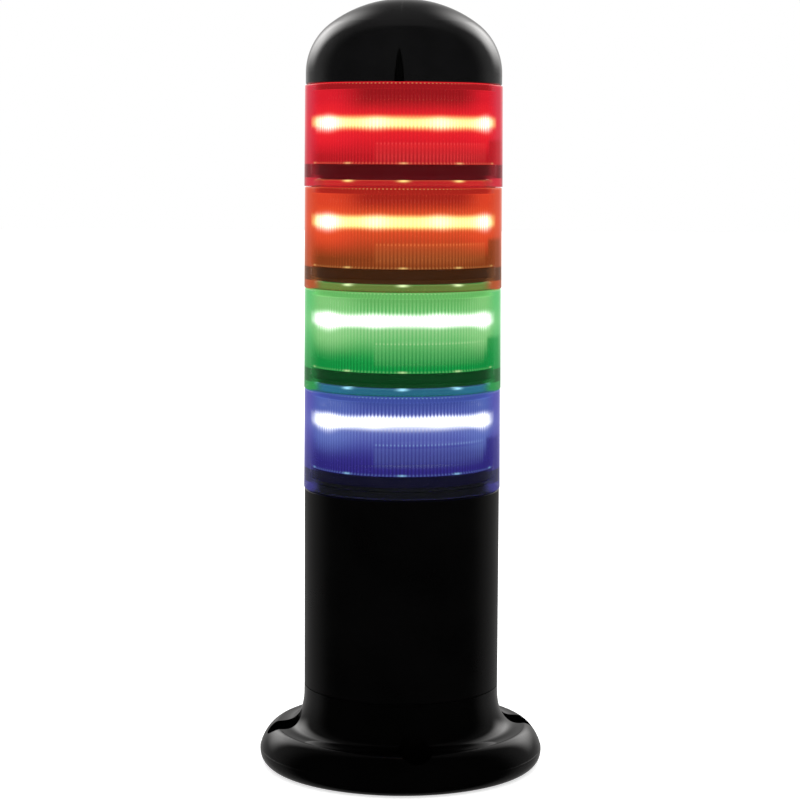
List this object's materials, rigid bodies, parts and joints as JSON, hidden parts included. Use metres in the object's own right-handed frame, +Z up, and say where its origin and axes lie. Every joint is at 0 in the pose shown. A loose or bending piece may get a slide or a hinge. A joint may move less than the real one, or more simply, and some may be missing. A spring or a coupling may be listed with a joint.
{
  "type": "stack light",
  "caption": "Round signal tower: flared black foot and tube, a stack of ribbed coloured LED light modules that twist-lock together, and a domed black cap.",
  "frame": {"origin": "centre of the foot's underside, on the column's axis", "axes": "+Z up the column's axis; the foot's screw pockets lie on -Y, +X, +Y and -X; the cap's alignment flute is near -Y"},
  "size_m": [0.1016, 0.1016, 0.273],
  "materials": {
    "gloss_black": "moulded gloss black",
    "satin_black": "satin black",
    "matte_black": "fine matte black",
    "black_rubber": "soft matte",
    "grey_plastic": "matte",
    "white_plastic": "satin white",
    "board_green": "coated circuit board",
    "board_white": "white coated circuit board",
    "steel": "zinc-plated steel",
    "brass": "bright brass",
    "lens_blue": "clear tinted, ribbed inside",
    "lens_green": "clear tinted, ribbed inside",
    "lens_amber": "clear tinted, ribbed inside",
    "lens_red": "clear tinted, ribbed inside",
    "led_blue": "lit LED",
    "led_green": "lit LED",
    "led_amber": "lit LED",
    "led_red": "lit LED",
    "light_blue": "frosted, lit",
    "light_green": "frosted, lit",
    "light_amber": "frosted, lit",
    "light_red": "frosted, lit"
  },
  "bodies": {
    "column": {"mounting_base": "gloss_black", "base_gasket": "black_rubber", "column_tube": "satin_black", "head_adapter": "matte_black", "adapter_screws": "steel", "terminal_block": "grey_plastic", "terminal_screws": "steel", "contact_board": "board_green", "contact_rings": "brass"},
    "blue_module": {"blue_lens": "lens_blue", "blue_module_base": "matte_black", "blue_seal": "black_rubber", "blue_led_carrier": "white_plastic", "blue_led_board": "board_white", "blue_leds": "led_blue", "blue_diffuser": "light_blue", "blue_contact_plate": "board_green", "blue_contact_rings": "brass", "blue_contact_block": "grey_plastic", "blue_contact_pins": "brass"},
    "green_module": {"green_lens": "lens_green", "green_module_base": "matte_black", "green_seal": "black_rubber", "green_led_carrier": "white_plastic", "green_led_board": "board_white", "green_leds": "led_green", "green_diffuser": "light_green", "green_contact_plate": "board_green", "green_contact_rings": "brass", "green_contact_block": "grey_plastic", "green_contact_pins": "brass"},
    "amber_module": {"amber_lens": "lens_amber", "amber_module_base": "matte_black", "amber_seal": "black_rubber", "amber_led_carrier": "white_plastic", "amber_led_board": "board_white", "amber_leds": "led_amber", "amber_diffuser": "light_amber", "amber_contact_plate": "board_green", "amber_contact_rings": "brass", "amber_contact_block": "grey_plastic", "amber_contact_pins": "brass"},
    "red_module": {"red_lens": "lens_red", "red_module_base": "matte_black", "red_seal": "black_rubber", "red_led_carrier": "white_plastic", "red_led_board": "board_white", "red_leds": "led_red", "red_diffuser": "light_red", "red_contact_plate": "board_green", "red_contact_rings": "brass", "red_contact_block": "grey_plastic", "red_contact_pins": "brass"},
    "cap": {"cap_dome": "gloss_black", "cap_lock_ring": "matte_black", "cap_seal": "black_rubber", "cap_screws": "steel"}
  },
  "joints": [
    {"name": "blue_twist", "type": "hinge", "parent": "column", "child": "blue_module", "pos_m": [0, 0, 0.1], "axis": [0, 0, 1], "range_deg": [0, 28]},
    {"name": "green_twist", "type": "hinge", "parent": "blue_module", "child": "green_module", "pos_m": [0, 0, 0.1357], "axis": [0, 0, 1], "range_deg": [0, 28]},
    {"name": "amber_twist", "type": "hinge", "parent": "green_module", "child": "amber_module", "pos_m": [0, 0, 0.1714], "axis": [0, 0, 1], "range_deg": [0, 28]},
    {"name": "red_twist", "type": "hinge", "parent": "amber_module", "child": "red_module", "pos_m": [0, 0, 0.2071], "axis": [0, 0, 1], "range_deg": [0, 28]},
    {"name": "cap_twist", "type": "hinge", "parent": "red_module", "child": "cap", "pos_m": [0, 0, 0.2428], "axis": [0, 0, 1], "range_deg": [0, 28]}
  ]
}
